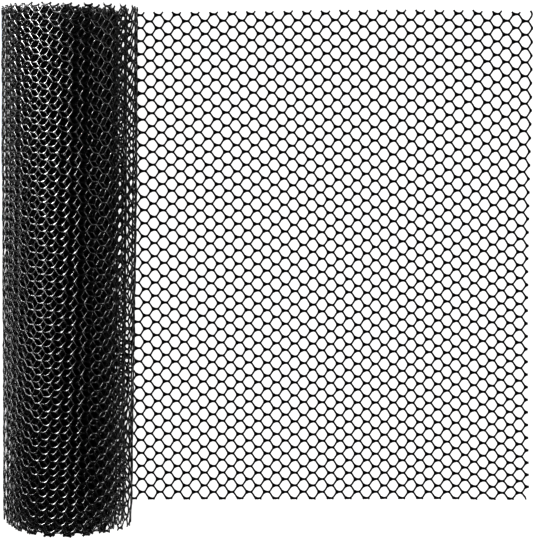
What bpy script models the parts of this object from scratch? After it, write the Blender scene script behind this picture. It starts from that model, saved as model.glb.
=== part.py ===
"""Roll of plastic chicken wire, lying on its side with its loose end drawn out flat.

Metres, +Z up. The origin is on the surface that the roll lies on, at the middle of the footprint.
The roll's axis runs nearly along Y, at the low X side, and the loose end reaches out to +X.
The net itself stays uncut here: both solids have its outer form only.
"""

import math

import bmesh
import bpy

# Net: flat-topped hexagons, a bar at the top and the bottom of each
COLUMN_PITCH = 0.0075
ROW_PITCH = 0.01076
ROWS = 37
BAR_LENGTH = 0.0044
STRAND = 0.0011
NET_THICK = 0.0018
NET_BLACK = (0.012, 0.012, 0.014, 1.0)
NET_ROUGHNESS = 0.32

# Loose end, as it lies: the blade's line across it runs a little aslant of the hexagons
BOTTOM_BARS_Y = -0.1976
TOP_STUB = 0.0024
LAST_POINTS_X = 0.2108
LAST_POINTS_SLANT = -0.0030
CUT_LINE_X = 0.21185
CUT_LINE_SLANT = -0.0095
SHORTEST_NUB = 0.0003

# Roll: its section grows from the bottom end to the top end
ROLL_LENGTH = 0.4070
ROLL_SIDE_X = -0.21085
ROLL_MIDDLE_Y = 0.00065
ROLL_TURN = math.radians(-0.73)
WIDTH_BOTTOM = 0.1003
WIDTH_TOP = 0.1044
WIDTH_GROWS_OVER = 0.75
HEIGHT_SHARE = 0.972
FLAT_SPOT_DEPTH = 0.0006
STEP_X = 0.0500
PIECE_GAP = 0.0003
STEP_HEIGHT = NET_THICK + 2 * PIECE_GAP

# The two outer turns stand off the tight ones by a crescent, widest up on the loose end's side
OUTER_WALL = 0.0050
CRESCENT_BOTTOM = 0.0090
CRESCENT_TOP = 0.0120
CRESCENT_TOWARDS = math.radians(37.0)
CRESCENT_REACH = math.radians(118.0)

# The eye, through the middle of the tight turns
EYE_WIDTH = 0.0360

OUTLINE_STEPS = 96
STATIONS = 9
EYE_STEPS = 40
CRESCENT_STEPS = 26
CUTTER_OVERRUN = 0.010


def smooth_share(share):
    share = min(1.0, max(0.0, share))
    return share * share * (3.0 - 2.0 * share)


def along(share, bottom, top):
    """A size of the roll at a share of its length, counted from the bottom end."""
    return bottom + (top - bottom) * smooth_share(share / WIDTH_GROWS_OVER)


def section(share):
    """Middle and half sizes of the roll's section, in the roll's own frame with x = 0 at its far side."""
    width = along(share, WIDTH_BOTTOM, WIDTH_TOP)
    half_height = width * HEIGHT_SHARE / 2
    return width / 2, half_height - FLAT_SPOT_DEPTH, width / 2, half_height


def roll_outline(share):
    """Once round the outermost turn, from the step at the bottom by the far side, top and near side."""
    mid_x, mid_z, half_width, half_height = section(share)
    points = []
    for step in range(OUTLINE_STEPS + 1):
        turn = step / OUTLINE_STEPS
        angle = turn * math.tau
        drawn_in = STEP_HEIGHT * turn
        x = mid_x - (half_width + STEP_HEIGHT / 4 - drawn_in) * math.sin(angle)
        z = mid_z - (half_height - drawn_in) * math.cos(angle)
        lowest = 0.0 if turn < 0.5 else STEP_HEIGHT
        points.append((x, max(z, lowest)))
    points[0] = (STEP_X, 0.0)
    points[-1] = (STEP_X, STEP_HEIGHT)
    return points


def crescent_outline(share):
    """The gap between the tight turns and the two loose ones, out along its rim and back along the core."""
    mid_x, mid_z, half_width, half_height = section(share)
    widest = along(share, CRESCENT_BOTTOM, CRESCENT_TOP)
    rim, core = [], []
    for step in range(CRESCENT_STEPS + 1):
        off = CRESCENT_REACH * (2 * step / CRESCENT_STEPS - 1)
        angle = CRESCENT_TOWARDS + off
        gap = widest * (1 + math.cos(off)) / 2
        for side, inward in ((rim, OUTER_WALL), (core, OUTER_WALL + gap)):
            side.append(
                (
                    mid_x + (half_width - inward) * math.cos(angle),
                    mid_z + (half_height - inward) * math.sin(angle),
                )
            )
    return rim + core[::-1]


def eye_middle(share):
    """The tight turns sit against the far side and the bottom of the loose ones, and the eye with them."""
    mid_x, mid_z, _, _ = section(share)
    shift = along(share, CRESCENT_BOTTOM, CRESCENT_TOP) / 2
    return mid_x - shift * math.cos(CRESCENT_TOWARDS), mid_z - shift * math.sin(CRESCENT_TOWARDS)


def eye_outline(share):
    mid_x, mid_z = eye_middle(share)
    angles = [math.tau * step / EYE_STEPS for step in range(EYE_STEPS)]
    return [(mid_x + EYE_WIDTH / 2 * math.cos(a), mid_z + EYE_WIDTH / 2 * math.sin(a)) for a in angles]


def lofted(name, outline, overrun=0.0):
    """A closed body along the roll, through the outline at each station."""
    mesh = bmesh.new()
    loops = []
    for station in range(STATIONS):
        share = station / (STATIONS - 1)
        y = (share - 0.5) * (ROLL_LENGTH + 2 * overrun)
        loops.append([mesh.verts.new((x, y, z)) for x, z in outline(share)])
    count = len(loops[0])
    for near, far in zip(loops, loops[1:]):
        for i in range(count):
            j = (i + 1) % count
            mesh.faces.new((near[i], near[j], far[j], far[i]))
    mesh.faces.new(loops[0])
    mesh.faces.new(loops[-1])
    bmesh.ops.recalc_face_normals(mesh, faces=mesh.faces)
    data = bpy.data.meshes.new(name)
    mesh.to_mesh(data)
    mesh.free()
    piece = bpy.data.objects.new(name, data)
    bpy.context.collection.objects.link(piece)
    piece.location = (ROLL_SIDE_X, ROLL_MIDDLE_Y, 0.0)
    piece.rotation_euler = (0.0, 0.0, ROLL_TURN)
    return piece


def cut_through(piece, outline, name):
    cutter = lofted(name, outline, CUTTER_OVERRUN)
    cutter.hide_render = True
    cutter.display_type = "WIRE"
    cut = piece.modifiers.new(name, "BOOLEAN")
    cut.operation = "DIFFERENCE"
    cut.solver = "EXACT"
    cut.object = cutter


def plastic(name, colour):
    material = bpy.data.materials.new(name)
    material.use_nodes = True
    shader = material.node_tree.nodes["Principled BSDF"]
    shader.inputs["Base Color"].default_value = colour
    shader.inputs["Roughness"].default_value = NET_ROUGHNESS
    shader.inputs["Metallic"].default_value = 0.0
    return material


def finish(piece, material):
    piece.data.materials.append(material)
    piece.data.shade_smooth()
    piece.data.set_sharp_from_angle(angle=math.radians(35))


def wound_roll():
    roll = lofted("wound_roll", roll_outline)
    cut_through(roll, eye_outline, "eye_cutter")
    cut_through(roll, crescent_outline, "crescent_cutter")
    finish(roll, plastic("wound_net", NET_BLACK))


def cut_line_x(y):
    return CUT_LINE_X + CUT_LINE_SLANT * y


def last_points_x(y):
    """The points of the last column of hexagons, just short of the cut line."""
    return min(LAST_POINTS_X + LAST_POINTS_SLANT * y, cut_line_x(y) - SHORTEST_NUB)


def step_x(y):
    """The loose end's other edge, along the step under the roll."""
    return ROLL_SIDE_X + STEP_X + PIECE_GAP - y * math.tan(ROLL_TURN)


def toothed_edge(bars_y, outward, stub):
    """One long edge from the cut end back to the roll: feet of cut strands, and half-hexagon arches."""
    pitch = 2 * COLUMN_PITCH
    foot = BAR_LENGTH / 2 + STRAND / 2 + stub * (COLUMN_PITCH - BAR_LENGTH) / (ROW_PITCH / 2)
    arch = BAR_LENGTH / 2 - STRAND / 2
    reach = bars_y + outward * stub
    depth = bars_y - outward * (ROW_PITCH / 2 - STRAND)
    start = last_points_x(bars_y) - COLUMN_PITCH + BAR_LENGTH / 2
    teeth = int((start - step_x(bars_y)) / pitch)
    points = []
    for tooth in range(teeth):
        x = start - tooth * pitch
        points += [(x - arch, depth), (x - COLUMN_PITCH + foot, reach)]
        points += [(x - COLUMN_PITCH - foot, reach), (x - pitch + arch, depth)]
    return points


def zigzag_end():
    """The cut end from its bottom corner up: a nub on each point, the hexagons' slants between them."""
    points = []
    slant = COLUMN_PITCH - BAR_LENGTH
    for row in range(1, ROWS):
        y = BOTTOM_BARS_Y + row * ROW_PITCH
        point, tip = last_points_x(y), cut_line_x(y)
        points += [(point - slant, y - ROW_PITCH / 2 + STRAND / 2), (point, y - STRAND / 2)]
        points += [(tip, y - STRAND / 2), (tip, y + STRAND / 2)]
        points += [(point, y + STRAND / 2), (point - slant, y + ROW_PITCH / 2 - STRAND / 2)]
    return points


def loose_end():
    top_bars_y = BOTTOM_BARS_Y + ROWS * ROW_PITCH
    top = toothed_edge(top_bars_y, 1, TOP_STUB)
    bottom = toothed_edge(BOTTOM_BARS_Y, -1, STRAND / 2)
    under_roll = [(step_x(top_bars_y), top_bars_y), (step_x(BOTTOM_BARS_Y), BOTTOM_BARS_Y)]
    outline = zigzag_end() + top + under_roll + bottom[::-1]
    mesh = bmesh.new()
    lower = mesh.faces.new([mesh.verts.new((x, y, 0.0)) for x, y in outline])
    raised = bmesh.ops.extrude_face_region(mesh, geom=[lower])["geom"]
    bmesh.ops.translate(
        mesh, vec=(0.0, 0.0, NET_THICK), verts=[v for v in raised if isinstance(v, bmesh.types.BMVert)]
    )
    bmesh.ops.recalc_face_normals(mesh, faces=mesh.faces)
    data = bpy.data.meshes.new("loose_end")
    mesh.to_mesh(data)
    mesh.free()
    sheet = bpy.data.objects.new("loose_end", data)
    bpy.context.collection.objects.link(sheet)
    finish(sheet, plastic("loose_net", NET_BLACK))


for old in list(bpy.data.objects):
    bpy.data.objects.remove(old)

wound_roll()
loose_end()
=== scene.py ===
import math

import bpy
import numpy as np
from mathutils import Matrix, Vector


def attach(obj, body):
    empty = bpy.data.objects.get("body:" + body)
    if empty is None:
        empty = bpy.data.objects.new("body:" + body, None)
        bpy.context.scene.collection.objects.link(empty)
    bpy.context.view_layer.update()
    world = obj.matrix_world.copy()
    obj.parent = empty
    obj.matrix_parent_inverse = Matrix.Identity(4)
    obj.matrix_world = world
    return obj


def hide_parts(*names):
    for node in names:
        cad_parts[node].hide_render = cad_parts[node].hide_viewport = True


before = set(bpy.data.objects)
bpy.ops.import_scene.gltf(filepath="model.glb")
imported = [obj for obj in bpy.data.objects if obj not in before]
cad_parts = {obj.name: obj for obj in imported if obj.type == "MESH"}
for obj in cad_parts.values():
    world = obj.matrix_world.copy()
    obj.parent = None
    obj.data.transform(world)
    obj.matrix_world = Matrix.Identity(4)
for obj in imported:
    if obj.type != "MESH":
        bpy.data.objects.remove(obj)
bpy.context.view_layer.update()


# The loose end: the part of the net that is drawn off the roll and lies flat.
# Black polyethylene, extruded as two crossing sets of thin strands that run together in short bars,
# so that the holes are flat-topped hexagons. It was cut to length and to width through the strands.

COLUMN_PITCH = 0.0075
WOUND_PITCH = 0.0078
# 36 half rows of the drawn-out net measure 195 mm
HALF_ROW = 0.195 / 36
HALF_ROWS = 74
BAR_HALF = 0.0020
NET_THICK = 0.0013
LOOSE_COLUMNS = 48
NET_COLUMNS = 385

# what the blade has left of the slanted strands, as shares of a strand, and of the bars where the loose end
# is cut, in metres
CUT_STUB_TOP = 0.45
CUT_STUB_BOTTOM = 0.15
WOUND_STUB_LONGER = 0.12
STUB_UNEVEN = (0.75, 1.2)
NUB_TOP = 0.0003
NUB_BOTTOM = 0.0023

LEFT, RIGHT = 0, 1
FRONT, BACK = 0, 1
BAR, UP, DOWN = 0, 1, 2
# spare columns and half rows round the net, so that every strand has neighbours to be counted from
PAD = 4

# corners of a hexagon from its right one, anticlockwise: which bar's end each is (column, half row, end)
CORNERS = ((-1, 0, LEFT), (0, -1, RIGHT), (0, -1, LEFT), (1, 0, RIGHT), (0, 1, LEFT), (0, 1, RIGHT))
# its sides, each from its corner to the next: strand (kind, column, half row), and whether it runs that way
SIDES = ((DOWN, 0, -1, False), (BAR, 0, -1, False), (UP, 1, 0, False))
SIDES += ((DOWN, 1, 0, True), (BAR, 0, 1, True), (UP, 0, 1, True))
# the column beyond each side, counted from the hexagon's own
BEYOND = (-1, 0, 1, 1, 0, -1)
# how far along each side the corner at either end is rounded; the left corner is nearly sharp
ROUNDED = ((0.20, 0.20), (0.24, 0.34), (0.28, 0.07), (0.07, 0.28), (0.34, 0.24), (0.20, 0.20))
# a corner's rounding takes up no more than this share of a cut strand
STUB_ROUNDED = 0.6

# half widths of a strand near its start and near its end, a bar's start being its left end
HALF_WIDTHS = {BAR: (0.00100, 0.00077), UP: (0.00059, 0.00070), DOWN: (0.00060, 0.00072)}
# heights of its front and its back at mid length; one set of strands lies over the other
MIDDLE_HEIGHTS = {BAR: (0.00060, -0.00060), UP: (0.00042, -0.00060), DOWN: (0.00060, -0.00042)}
# half thickness of the net at the left and the right end of a bar
KNOT_HEIGHTS = (0.00064, 0.00059)
# the ridge along a bar runs aslant, and is this far out of the middle at either end
ASLANT = 0.0003
# where a strand is widest, and its shoulders above and below that, as shares of its half width and height
WIDEST = (1.0, 0.0)
FRONT_SHOULDER = (0.72, 0.70)
BACK_SHOULDERS = {BAR: (0.45, -0.62), UP: (0.80, -0.78), DOWN: (0.50, -0.62)}
# strands without shoulders are made this much wider; they are only seen through the outer turns
STOUT = 1.4

# small unevenness of each knot along and across the net, more of it once the net is wound, and up or down,
# which only the wound net has
KNOT_WANDER = 0.00009
WOUND_WANDERS_MORE = 1.3
KNOT_RISE = 0.00020
MOST_RISE = 0.0003
WOUND_FROM = LOOSE_COLUMNS + 2
WOUND_OVER = 6

rng = np.random.default_rng(11)
GRID = (NET_COLUMNS + 2 * PAD, HALF_ROWS + 1 + 2 * PAD)
wound_share = np.clip((np.arange(GRID[0]) - PAD - WOUND_FROM) / WOUND_OVER, 0, 1)[:, None, None]
wander = rng.normal(0, KNOT_WANDER, GRID + (2, 2)) * (1 + WOUND_WANDERS_MORE * wound_share[..., None])
rise = np.clip(rng.normal(0, KNOT_RISE, GRID + (2,)), -MOST_RISE, MOST_RISE) * wound_share
stub_share = rng.uniform(*STUB_UNEVEN, GRID + (2,))


def strand_reach():
    """How much of each strand there is from its start and from its end; 1 is a whole strand, 0 is none."""
    reach = np.zeros((3,) + GRID + (2,))
    column, half_row = np.meshgrid(np.arange(GRID[0]) - PAD, np.arange(GRID[1]) - PAD, indexing="ij")
    tied = (column + half_row) % 2 == 1
    across = (column >= 0) & (column < NET_COLUMNS)
    inside = (half_row >= 0) & (half_row <= HALF_ROWS)
    reach[BAR][tied & across & inside] = 1
    nub = NUB_TOP + (NUB_BOTTOM - NUB_TOP) * half_row / HALF_ROWS
    first = tied & (column == -1) & (half_row > 0) & (half_row < HALF_ROWS)
    reach[BAR][first, 0] = (nub / (2 * BAR_HALF))[first]
    reach[BAR][tied & (column == NET_COLUMNS) & inside, 1] = CUT_STUB_TOP
    slanted = tied & (column >= 0) & (column <= NET_COLUMNS)
    lower = CUT_STUB_BOTTOM + WOUND_STUB_LONGER * (column > LOOSE_COLUMNS)
    for kind, step in ((UP, -1), (DOWN, 1)):
        other = (half_row + step >= 0) & (half_row + step <= HALF_ROWS)
        reach[kind][slanted & inside & other] = 1
        for end, only, edge in ((0, inside & ~other, half_row), (1, other & ~inside, half_row + step)):
            stub = np.where(edge == 0, CUT_STUB_TOP, lower) * stub_share[..., end]
            reach[kind][slanted & only, end] = stub[slanted & only]
    return reach


REACH = strand_reach()

# the middle of the loose end, and where that lies
MIDDLE_COLUMN = 24
MIDDLE_ROW = 37
MIDDLE_PLACE = (0.0241, 0.0029)
# its shape goes by shares: across, from 1 at the cut end to -1 where the roll hides it, and up, from 1 near
# its upper edge to -1 near its lower one; these are the columns and half rows from 0 to 1
ACROSS_COLUMNS = 21.5
UP_HALF_ROWS = 36
# its columns widen towards the cut end: this much, times the square of how many they are from the middle
COLUMNS_WIDEN = 0.0000032
# half way up it bulges towards the cut end, in a wave that has its crest at this share across
BULGE = 0.0022
BULGE_WAVE = 2.3
BULGE_CREST = -0.15
# it leans and sags: how far at 0 across, how much more towards the cut end, and how much more at both ends
LEAN = (0.0023, -0.0013, -0.0004)
SAG = (-0.0005, -0.0036, -0.0012)
# its upper edge is drawn in, least at this share across
TOP_EDGE = -0.0020
TOP_EDGE_BENDS = 0.0011
TOP_EDGE_LEAST = 0.1
# places where it has been tugged out of line: where, how far round, and how far each way
TUGS = (
    (0.171, 0.129, 0.042, 0.0016, 0.0),
    (0.128, 0.152, 0.036, -0.0004, 0.0010),
    (-0.090, 0.124, 0.034, 0.0002, -0.0011),
    (-0.010, 0.050, 0.032, 0.0004, 0.0005),
    (0.166, 0.045, 0.042, 0.0004, -0.0009),
    (0.045, -0.010, 0.040, 0.0007, 0.0),
    (0.138, -0.112, 0.045, 0.0, 0.0010),
    (0.060, -0.170, 0.034, 0.0009, 0.0),
    (0.194, -0.172, 0.026, 0.0004, -0.0013),
)
# the roll is out of line with it by this much, and the net runs on square to the roll
ROLL_TURN = math.radians(-0.73)


def drawn_out(column, half_row):
    """Where the net lies seen from above, were all of it drawn out."""
    under = np.minimum(column, LOOSE_COLUMNS + 1)
    across = (ACROSS_COLUMNS - under) / ACROSS_COLUMNS
    up = (MIDDLE_ROW - half_row) / UP_HALF_ROWS
    bulge = BULGE * np.cos(BULGE_WAVE * (across - BULGE_CREST)) * (1 - up**2)
    lean = LEAN[0] + LEAN[1] * across + LEAN[2] * across**2
    sag = SAG[0] + SAG[1] * across + SAG[2] * across**2
    top_edge = TOP_EDGE - TOP_EDGE_BENDS * (across - TOP_EDGE_LEAST) ** 2
    wider = COLUMNS_WIDEN * (MIDDLE_COLUMN - under) ** 2
    x = MIDDLE_PLACE[0] + COLUMN_PITCH * (MIDDLE_COLUMN - under) + wider - lean * up + bulge
    y = MIDDLE_PLACE[1] + UP_HALF_ROWS * HALF_ROW * up
    y = y + sag * (1 - up**2) + top_edge * up**2 * (1 + up) / 2
    for at_x, at_y, reach, push_x, push_y in TUGS:
        share = np.exp(-((x - at_x) ** 2 + (y - at_y) ** 2) / (2 * reach**2))
        x, y = x + push_x * share, y + push_y * share
    further = WOUND_PITCH * (column - under)
    return x - further * math.cos(ROLL_TURN), y - further * math.sin(ROLL_TURN)


def at(values, step):
    """For each place, the values of the place so many columns and half rows on."""
    return np.roll(values, (-step[0], -step[1]), (0, 1))


def side_reach(reach, side):
    """How much there is of a hexagon's side, from the corner where it starts and from the next one."""
    kind, columns_on, rows_on, forward = SIDES[side]
    strand = at(reach[kind], (columns_on, rows_on))
    from_start, from_end = strand[..., 0], strand[..., 1]
    return (from_start, from_end) if forward else (from_end, from_start)


def knot_points(column, half_row, here):
    """The two ends of each bar, where three strands meet."""
    knots = np.empty(column.shape + (2, 3))
    for end, way in ((LEFT, 1), (RIGHT, -1)):
        x, y = drawn_out(column + way * BAR_HALF / COLUMN_PITCH, half_row)
        knots[..., end, 0], knots[..., end, 1] = x, y
        knots[..., end, :2] += wander[here][..., end, :]
        knots[..., end, 2] = rise[here][..., end]
    return knots


def spine_points(knots):
    """Front and back of each knot. The ridge along a bar runs aslant, as one set lies over the other."""
    spine = np.stack([knots, knots], axis=3)
    spine[..., FRONT, 2] += KNOT_HEIGHTS
    spine[..., BACK, 2] -= KNOT_HEIGHTS
    spine[..., FRONT, 1] += (ASLANT, -ASLANT)
    spine[..., BACK, 1] -= (ASLANT, -ASLANT)
    return spine


def ridge_points(knots, reach):
    """Front and back of each strand at its middle, and at the two tips of a cut one."""
    starts = (knots[..., LEFT, :], knots[..., RIGHT, :], knots[..., RIGHT, :])
    stops = (knots[..., RIGHT, :], at(knots, (-1, -1))[..., LEFT, :], at(knots, (-1, 1))[..., LEFT, :])
    ridge = np.empty(knots.shape[:2] + (3, 3, 2, 3))
    for kind in (BAR, UP, DOWN):
        for spot, share in enumerate((0.5, reach[kind][..., 0], 1 - reach[kind][..., 1])):
            share = np.broadcast_to(share, knots.shape[:2])[..., None]
            ridge[..., kind, spot, :, :] = (starts[kind] * (1 - share) + stops[kind] * share)[..., None, :]
            ridge[..., kind, spot, :, 2] += MIDDLE_HEIGHTS[kind]
    return ridge


def rim_points(knots, reach, fine):
    """The rim of each hexagon: on each side a point near either corner, and the two tips of a cut strand.

    Each is where the strand is widest, and a fine strand has its front and its back shoulder there as well.
    """
    levels = 3 if fine else 1
    rim = np.empty(knots.shape[:2] + (6, 4, levels, 3))
    for side, (kind, _, _, forward) in enumerate(SIDES):
        corner, after = CORNERS[side], CORNERS[(side + 1) % 6]
        begin = at(knots, corner)[..., corner[2], :]
        along = at(knots, after)[..., after[2], :] - begin
        inward = np.stack([-along[..., 1], along[..., 0], 0 * along[..., 0]], -1)
        inward /= np.linalg.norm(inward, axis=-1)[..., None]
        widths = HALF_WIDTHS[kind] if forward else HALF_WIDTHS[kind][::-1]
        widths = [width * (1 if fine else STOUT) for width in widths]
        front, back = MIDDLE_HEIGHTS[kind]
        section = (WIDEST, FRONT_SHOULDER, BACK_SHOULDERS[kind])[:levels]
        near, far = side_reach(reach, side)
        near_corner, far_corner = ROUNDED[side]
        rounded = np.minimum(near_corner, near * STUB_ROUNDED)
        far_rounded = np.minimum(far_corner, far * STUB_ROUNDED)
        for spot, share in enumerate((rounded, 1 - far_rounded, near, 1 - far)):
            width = widths[spot % 2]
            for level, (out, height) in enumerate(section):
                rim[..., side, spot, level, :] = begin + along * share[..., None] + inward * width * out
                rim[..., side, spot, level, 2] += (front + back) / 2 + height * (front - back) / 2
    return rim


def hexagon_faces(column, half_row, first, last, reach, numbers):
    """All triangles round the hexagons: their corners, whether they are smooth, and whether in front.

    The corners are numbers of points: of the knots' spine, the strands' ridge and the hexagons' rim.
    """
    spine, ridge, rim = numbers
    fine = rim.shape[-1] == 3
    # back shoulder, widest place and front shoulder
    back_to_front = (2, 0, 1) if fine else (0,)
    front_to_back = back_to_front[::-1]
    cell = (column + half_row) % 2 == 0
    cell &= (column >= first) & (column <= last) & (half_row >= -1) & (half_row <= HALF_ROWS + 1)
    triangles, smooth, fronts = [], [], []

    def add(where, corners, face=None):
        """A fan of triangles at each hexagon where it is wanted, turned over for the back."""
        corners = [corner[where] for corner in corners]
        if face == BACK:
            corners = corners[::-1]
        for second, third in zip(corners[1:], corners[2:]):
            triangles.append(np.stack([corners[0], second, third], -1))
            smooth.append(np.full(len(second), face is not None))
            fronts.append(np.full(len(second), face != BACK))

    for side, (kind, columns_on, rows_on, forward) in enumerate(SIDES):
        before = (side - 1) % 6
        corner, after = CORNERS[side], CORNERS[(side + 1) % 6]
        near, far = side_reach(reach, side)
        far_before = side_reach(reach, before)[1]
        whole = cell & (near == 1) & (far == 1)
        near_stub = cell & (near > 0) & ~whole
        far_stub = cell & (far > 0) & ~whole
        meets = cell & (near > 0) & (far_before > 0)
        near_bend, far_bend, near_tip, far_tip = [rim[..., side, spot, :] for spot in range(4)]
        bend_before = rim[..., before, 1, :]
        knot = at(spine, corner)[..., corner[2], :]
        next_knot = at(spine, after)[..., after[2], :]
        strand = at(ridge, (columns_on, rows_on))[..., kind, :, :]
        middle, near_end, far_end = [strand[..., spot, :] for spot in ((0, 1, 2) if forward else (0, 2, 1))]
        for face in (FRONT, BACK):
            start, crest, stop = knot[..., face], middle[..., face], next_knot[..., face]
            outer = face + 1 if fine else 0
            near_rim, far_rim = near_bend[..., outer], far_bend[..., outer]
            rim_before = bend_before[..., outer]
            add(whole, (crest, far_rim, near_rim, start), face)
            add(whole, (crest, stop, far_rim), face)
            add(meets, (start, near_rim, rim_before), face)
            add(near_stub, (start, near_end[..., face], near_tip[..., outer], near_rim), face)
            add(far_stub, (far_end[..., face], stop, far_rim, far_tip[..., outer]), face)
            if fine:
                add(whole, (near_rim, far_rim, far_bend[..., 0], near_bend[..., 0]), face)
                add(meets, (rim_before, near_rim, near_bend[..., 0], bend_before[..., 0]), face)
                add(near_stub, (near_rim, near_tip[..., outer], near_tip[..., 0], near_bend[..., 0]), face)
                add(far_stub, (far_tip[..., outer], far_rim, far_bend[..., 0], far_tip[..., 0]), face)
        # flat faces: the cut tips, and the open corners where a strand is missing
        edge = [near_tip[..., level] for level in back_to_front]
        add(near_stub, [near_end[..., FRONT], near_end[..., BACK]] + edge)
        edge = [far_tip[..., level] for level in front_to_back]
        add(far_stub, [far_end[..., FRONT]] + edge + [far_end[..., BACK]])
        edge = [near_bend[..., level] for level in front_to_back]
        add(cell & (near > 0) & (far_before == 0), [knot[..., FRONT]] + edge + [knot[..., BACK]])
        edge = [bend_before[..., level] for level in back_to_front]
        add(cell & (near == 0) & (far_before > 0), [knot[..., FRONT], knot[..., BACK]] + edge)
        # flat faces where the neighbouring piece of the net goes on
        border = (column + BEYOND[side] < first) | (column + BEYOND[side] > last)
        for wanted, start, stop in (
            (whole, knot, middle),
            (whole, middle, next_knot),
            (near_stub, knot, near_end),
            (far_stub, far_end, next_knot),
        ):
            wall = (stop[..., FRONT], start[..., FRONT], start[..., BACK], stop[..., BACK])
            add(wanted & border, wall)
    return np.concatenate(triangles), np.concatenate(smooth), np.concatenate(fronts)


# upright faces of the net take up this much of its map
MAP_SLOPE = 0.004


def lay_out_map(mesh, flat, corners, fronts):
    """Maps the net as it was before winding: its front on the left half, its back on the right half."""
    low, high = flat.min(0), flat.max(0)
    spread = (flat - low) / (high - low)
    u = (spread[:, 0] + MAP_SLOPE * spread[:, 2])[corners] / (1 + MAP_SLOPE) / 2
    v = (spread[:, 1] + MAP_SLOPE * spread[:, 2])[corners] / (1 + MAP_SLOPE)
    u += np.where(np.repeat(fronts, 3), 0, 0.5)
    layout = mesh.uv_layers.new(name="OFBake")
    layout.data.foreach_set("uv", np.stack([u, v], -1).ravel())


def net_mesh(name, first, last, fine, lay):
    """Columns first to last of the net as one closed mesh, each strand four-sided, or eight-sided if fine.

    A strand between two hexagons is made as two halves, one on the rim of each hexagon.
    """
    columns = np.arange(first - 1, last + 2)
    rows = np.arange(-2, HALF_ROWS + 3)
    column, half_row = np.meshgrid(columns, rows, indexing="ij")
    here = np.ix_(columns + PAD, rows + PAD)
    reach = REACH[(slice(None),) + here]
    knots = knot_points(column, half_row, here)
    groups = (spine_points(knots), ridge_points(knots, reach), rim_points(knots, reach, fine))
    points = np.concatenate([group.reshape(-1, 3) for group in groups])
    numbers = []
    count = 0
    for group in groups:
        numbers.append(count + np.arange(group.size // 3).reshape(group.shape[:-1]))
        count += group.size // 3
    triangles, smooth, fronts = hexagon_faces(column, half_row, first, last, reach, numbers)

    used, corners = np.unique(triangles, return_inverse=True)
    corners = corners.reshape(-1)
    flat = points[used]
    mesh = bpy.data.meshes.new(name)
    mesh.vertices.add(len(used))
    mesh.vertices.foreach_set("co", np.stack(lay(*flat.T), -1).ravel())
    mesh.loops.add(len(corners))
    mesh.loops.foreach_set("vertex_index", corners)
    mesh.polygons.add(len(triangles))
    mesh.polygons.foreach_set("loop_start", np.arange(0, len(corners), 3))
    mesh.polygons.foreach_set("use_smooth", smooth)
    lay_out_map(mesh, flat, corners, fronts)
    mesh.update(calc_edges=True)
    mesh.validate()
    return mesh


def black_polyethylene():
    """Shiny black plastic, with fine grain from the die and a little dust in places."""
    material = bpy.data.materials.new("black_polyethylene")
    material.use_nodes = True
    nodes, links = material.node_tree.nodes, material.node_tree.links
    shader = nodes["Principled BSDF"]
    shader.inputs["IOR"].default_value = 1.51
    place = nodes.new("ShaderNodeTexCoord")
    dust = nodes.new("ShaderNodeTexNoise")
    dust.inputs["Scale"].default_value = 38
    dust.inputs["Detail"].default_value = 4
    links.new(place.outputs["Object"], dust.inputs["Vector"])
    tint = nodes.new("ShaderNodeValToRGB")
    tint.color_ramp.elements[0].position = 0.35
    tint.color_ramp.elements[0].color = (0.0004, 0.0004, 0.0005, 1)
    tint.color_ramp.elements[1].position = 0.75
    tint.color_ramp.elements[1].color = (0.0012, 0.0012, 0.0014, 1)
    links.new(dust.outputs["Fac"], tint.inputs["Fac"])
    links.new(tint.outputs["Color"], shader.inputs["Base Color"])
    grain = nodes.new("ShaderNodeTexNoise")
    grain.inputs["Scale"].default_value = 900
    grain.inputs["Detail"].default_value = 3
    links.new(place.outputs["Object"], grain.inputs["Vector"])
    gloss = nodes.new("ShaderNodeMapRange")
    gloss.inputs["To Min"].default_value = 0.14
    gloss.inputs["To Max"].default_value = 0.24
    links.new(grain.outputs["Fac"], gloss.inputs["Value"])
    links.new(gloss.outputs["Result"], shader.inputs["Roughness"])
    relief = nodes.new("ShaderNodeBump")
    relief.inputs["Strength"].default_value = 0.12
    relief.inputs["Distance"].default_value = 0.0001
    links.new(grain.outputs["Fac"], relief.inputs["Height"])
    links.new(relief.outputs["Normal"], shader.inputs["Normal"])
    return material


PLASTIC = black_polyethylene()


def net_piece(name, first, last, fine, lay):
    """One piece of the net, from its first column of hexagons to its last."""
    mesh = net_mesh(name, first, last, fine, lay)
    mesh.materials.append(PLASTIC)
    piece = bpy.data.objects.new(name, mesh)
    bpy.context.collection.objects.link(piece)
    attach(piece, "root")
    return piece


def lay_flat(x, y, z):
    return x, y, z + NET_THICK / 2


loose_net = net_piece("loose_net", -1, LOOSE_COLUMNS - 1, True, lay_flat)
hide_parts("loose_end")


# The wound net: the rest of the length, rolled up over itself from the step where the loose end leaves it.
# The two outer turns have sprung away from the tight ones on the loose end's side, and the middle is open.
# Nothing holds it: the net's own stiffness keeps it rolled.

# the roll, from its far side and the middle of its length, with x across it and its share from 0 at the
# bottom end to 1 at the top end
ROLL_SIDE_X = -0.2114
ROLL_MIDDLE_Y = 0.00065
ROLL_LENGTH = 0.4070
WIDTH_BOTTOM = 0.1040
WIDTH_TOP = 0.1066
WIDTH_GROWS_OVER = 0.75
END_DRAWN_IN = 0.0005
DRAWN_IN_OVER = 0.04
HEIGHT_SHARE = 0.955
FLAT_SPOT_DEPTH = 0.0006
# the step, where the net leaves the ground, and the part of a turn over which it comes into the round
STEP_X = 0.0500
STEP_OVER = 0.25

# how far in the net starts, how far in each turn goes, first the outermost and then the others, and how
# many more layers may lie flat at the bottom, each on the one before
OUTERMOST_DEPTH = 0.0003
LAYER = 0.0018
TIGHT_LAYER = 0.0023
FLAT_LAYERS = 2

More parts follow.
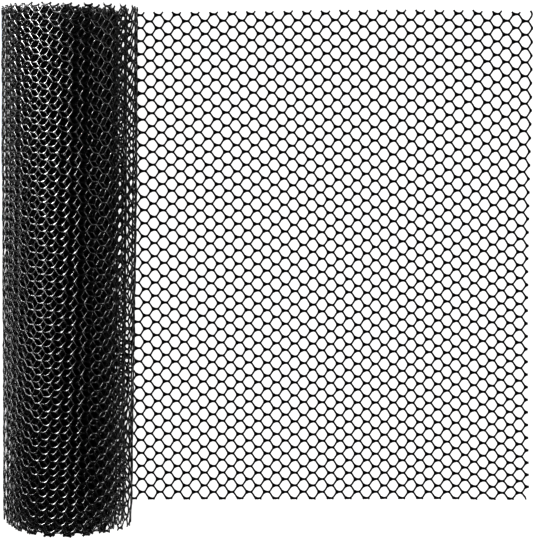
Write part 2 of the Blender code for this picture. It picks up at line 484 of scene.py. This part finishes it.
# the crescents that open inside the two outer turns: how wide together, and which way. At this part of a
# turn all turns touch, and there the second sinks away from the first, by this share, and the third by the
# rest
CRESCENT_BOTTOM = 0.0090
CRESCENT_TOP = 0.0120
CRESCENT_TOWARDS = math.radians(37)
TOUCHING_AT = 0.147
SINKS_OVER = 0.4
SECOND_TURN_SHARE = 0.56

# how the net lies along the roll: how much wider than the drawn-out one, and how far its turns have crept
# towards the roll's bottom end
WOUND_WIDER = 1.0170
WOUND_LOWER = 0.0004
SETTLED_AFTER = 0.6
INNER_WIDER = 0.003
INNER_WIDER_FROM = 1.3
INNER_LOWER = 0.0036
INNER_UNEVEN = 0.0016
INNER_WAVE = 2.3
INNER_WAVE_START = 1
# on the loose end's side, the lower end of the outermost turn hangs out a little
SIDE_END_LOWER = 0.0028
SIDE_END_OVER = 0.15

# the net is measured over this many turns, in steps; a nudge either way tells which way it runs at a place
MOST_TURNS = 14
STEPS_A_TURN = 240
NUDGE = 0.001


def smooth_share(share):
    share = np.clip(share, 0, 1)
    return share * share * (3 - 2 * share)


def turn_middle(turn, share):
    """The middle of the net's thickness after so many turns, at a share of the roll's length.

    All turns touch low on the far side. The second turn has sunk away from the first, and the tight ones
    from the second.
    """
    grown = smooth_share(share / WIDTH_GROWS_OVER)
    half_width = (WIDTH_BOTTOM + (WIDTH_TOP - WIDTH_BOTTOM) * grown) / 2
    half_width = half_width - END_DRAWN_IN * smooth_share(1 - share / DRAWN_IN_OVER)
    half_height = half_width * HEIGHT_SHARE
    widest = CRESCENT_BOTTOM + (CRESCENT_TOP - CRESCENT_BOTTOM) * grown
    second = smooth_share((turn - 1 - TOUCHING_AT + SINKS_OVER / 2) / SINKS_OVER)
    tight = smooth_share((turn - 2 - TOUCHING_AT + SINKS_OVER / 2) / SINKS_OVER)
    sunk = widest / 2 * (SECOND_TURN_SHARE * second + (1 - SECOND_TURN_SHARE) * tight)
    depth = OUTERMOST_DEPTH + LAYER * np.minimum(turn, 1) + TIGHT_LAYER * np.maximum(turn - 1, 0) + sunk
    angle = math.tau * turn
    x = half_width - sunk * math.cos(CRESCENT_TOWARDS) - (half_width - depth) * np.sin(angle)
    z = half_height - FLAT_SPOT_DEPTH - sunk * math.sin(CRESCENT_TOWARDS)
    z = z - (half_height - depth) * np.cos(angle)
    x = x + (STEP_X - half_width) * smooth_share(1 - turn / STEP_OVER)
    lowest = NET_THICK / 2 + LAYER * np.minimum(np.floor(turn + 0.5), FLAT_LAYERS)
    return x, np.maximum(z, lowest)


def turns_after():
    """Turns and the length of net that each takes, at the middle of the roll."""
    turn = np.linspace(0, MOST_TURNS, MOST_TURNS * STEPS_A_TURN + 1)
    x, z = turn_middle(turn, 0.5)
    return turn, np.concatenate([[0], np.cumsum(np.hypot(np.diff(x), np.diff(z)))])


TURN_TABLE, LENGTH_TABLE = turns_after()


def crept(along, turn):
    """Where a point of the net has got to along the roll, from where it would be on the drawn-out net."""
    settled = smooth_share(turn / SETTLED_AFTER)
    wider = 1 + (WOUND_WIDER - 1) * settled + INNER_WIDER * smooth_share(turn - INNER_WIDER_FROM)
    along = along * wider - WOUND_LOWER * settled
    uneven = INNER_UNEVEN * np.sin(INNER_WAVE * turn + INNER_WAVE_START)
    along = along - (INNER_LOWER + uneven) * smooth_share(turn - 1)
    near_side = np.clip(-np.sin(math.tau * turn), 0, 1) ** 2 * (turn < 1)
    return along - SIDE_END_LOWER * near_side * smooth_share(-along / SIDE_END_OVER)


def wind(x, y, z):
    """Lays a point of the drawn-out net where it goes on the roll; it stays flat up to the step."""
    cos, sin = math.cos(ROLL_TURN), math.sin(ROLL_TURN)
    off_x, off_y = x - ROLL_SIDE_X, y - ROLL_MIDDLE_Y
    across = cos * off_x + sin * off_y
    length = STEP_X - across
    turn = np.interp(length, LENGTH_TABLE, TURN_TABLE)
    along = crept(cos * off_y - sin * off_x, turn)
    share = along / ROLL_LENGTH + 0.5
    back_x, back_z = turn_middle(turn - NUDGE, share)
    ahead_x, ahead_z = turn_middle(turn + NUDGE, share)
    pace = np.hypot(ahead_x - back_x, ahead_z - back_z)
    in_x, in_z = (ahead_z - back_z) / pace, (back_x - ahead_x) / pace
    middle_x, middle_z = turn_middle(turn, share)
    wound = length > 0
    across = np.where(wound, middle_x + in_x * z, across)
    height = np.where(wound, middle_z + in_z * z, z + NET_THICK / 2)
    return cos * across - sin * along + ROLL_SIDE_X, sin * across + cos * along + ROLL_MIDDLE_Y, height


# the columns where each outer turn begins, and where the tight ones do
OUTER_TURNS = (48, 96, 140)
TIGHT_PIECES = 3

outer_turns = []
for number, (first, end) in enumerate(zip(OUTER_TURNS, OUTER_TURNS[1:]), 1):
    piece = net_piece(f"outer_turn_{number}", first, end - 1, True, wind)
    outer_turns.append(piece)

tight_turns = []
cuts = np.linspace(OUTER_TURNS[-1], NET_COLUMNS, TIGHT_PIECES + 1).round().astype(int)
for number, (first, end) in enumerate(zip(cuts, cuts[1:]), 1):
    last = end if end == NET_COLUMNS else end - 1
    piece = net_piece(f"tight_turns_{number}", first, last, False, wind)
    tight_turns.append(piece)

for piece in outer_turns + tight_turns:
    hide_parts("wound_roll")


# The floor: a wide white opal sheet, dull on top and softly lit from below, as is used to photograph
# things without a shadow.

FLOOR_HALF = 30.0
FLOOR_Z = -0.0002
FLOOR_GLOW = 1.15


def opal_floor():
    mesh = bpy.data.meshes.new("floor")
    low, high = -FLOOR_HALF, FLOOR_HALF
    mesh.from_pydata([(low, low, 0), (high, low, 0), (high, high, 0), (low, high, 0)], [], [(0, 1, 2, 3)])
    floor = bpy.data.objects.new("floor", mesh)
    bpy.context.collection.objects.link(floor)
    floor.location.z = FLOOR_Z
    material = bpy.data.materials.new("white_opal")
    material.use_nodes = True
    nodes, links = material.node_tree.nodes, material.node_tree.links
    shader = nodes["Principled BSDF"]
    shader.inputs["Roughness"].default_value = 0.9
    shader.inputs["Specular IOR Level"].default_value = 0.1
    clouding = nodes.new("ShaderNodeTexNoise")
    clouding.inputs["Scale"].default_value = 60
    shade = nodes.new("ShaderNodeValToRGB")
    shade.color_ramp.elements[0].color = (0.86, 0.86, 0.86, 1)
    shade.color_ramp.elements[1].color = (0.90, 0.90, 0.90, 1)
    links.new(clouding.outputs["Fac"], shade.inputs["Fac"])
    links.new(shade.outputs["Color"], shader.inputs["Base Color"])
    links.new(shade.outputs["Color"], shader.inputs["Emission Color"])
    shader.inputs["Emission Strength"].default_value = FLOOR_GLOW
    mesh.materials.append(material)


opal_floor()


# The light: soft boxes. On the far side are a long one, a good way off and up to overhead, two slim ones
# near the roll, the stronger of them at its top end, and a low one. A weak one is on the loose end's side.
# Flags keep all their light to the two outer turns, so that the rest of the net stays black.

wound_outside = bpy.data.collections.new("wound_outside")
for piece in outer_turns:
    wound_outside.objects.link(piece)


def soft_box(name, place, aim, size, power):
    light = bpy.data.lights.new(name, "AREA")
    light.shape = "RECTANGLE"
    light.size, light.size_y = size
    light.energy = power
    lamp = bpy.data.objects.new(name, light)
    bpy.context.collection.objects.link(lamp)
    lamp.location = place
    lamp.rotation_mode = "QUATERNION"
    lamp.rotation_quaternion = (lamp.location - Vector(aim)).to_track_quat("Z", "Y")
    lamp.light_linking.receiver_collection = wound_outside
    lamp.visible_camera = False


soft_box("key_box", place=(-2.96, 1.80, 4.23), aim=(-0.16, 1.80, 0.08), size=(1.40, 8.60), power=1600)
soft_box("top_box", place=(-0.41, 0.275, 0.33), aim=(-0.16, 0.275, 0.08), size=(0.07, 0.40), power=7)
soft_box("long_box", place=(-0.41, -0.10, 0.33), aim=(-0.16, -0.10, 0.08), size=(0.07, 0.45), power=2.2)
soft_box("low_box", place=(-0.275, 0.0, 0.004), aim=(-0.215, 0.0, 0.20), size=(0.42, 0.09), power=0.22)
soft_box("fill_box", place=(1.43, 0.32, 0.88), aim=(-0.16, 0.0, 0.08), size=(1.0, 1.0), power=38)


def studio_room():
    """A room that is pale near the floor and dark overhead."""
    room = bpy.data.worlds.new("studio")
    room.use_nodes = True
    nodes, links = room.node_tree.nodes, room.node_tree.links
    direction = nodes.new("ShaderNodeTexCoord")
    height = nodes.new("ShaderNodeSeparateXYZ")
    links.new(direction.outputs["Generated"], height.inputs["Vector"])
    fade = nodes.new("ShaderNodeValToRGB")
    fade.color_ramp.elements[0].position = 0.05
    fade.color_ramp.elements[0].color = (0.75, 0.75, 0.75, 1)
    fade.color_ramp.elements[1].position = 0.55
    fade.color_ramp.elements[1].color = (0.08, 0.08, 0.08, 1)
    links.new(height.outputs["Z"], fade.inputs["Fac"])
    links.new(fade.outputs["Color"], nodes["Background"].inputs["Color"])
    return room


bpy.context.scene.world = studio_room()


# The camera: nearly straight above, a little towards the roll's top end, as in the photograph.
# Its picture has the photograph's deep blacks.

CAMERA_PLACE = (-0.0035, 0.1229, 1.300)
CAMERA_TILT = math.radians(5.68)
LONG_SIDE_PX = 539
FOCUS_PX = 1593
SENSOR = 36.0
DEEP_BLACKS = 0.66

lens = bpy.data.cameras.new("camera")
lens.sensor_width = SENSOR
lens.lens = FOCUS_PX / LONG_SIDE_PX * SENSOR
camera = bpy.data.objects.new("camera", lens)
bpy.context.collection.objects.link(camera)
camera.location = CAMERA_PLACE
camera.rotation_euler = (-CAMERA_TILT, 0, 0)
bpy.context.scene.camera = camera
bpy.context.scene.view_settings.view_transform = "Standard"
bpy.context.scene.view_settings.gamma = DEEP_BLACKS
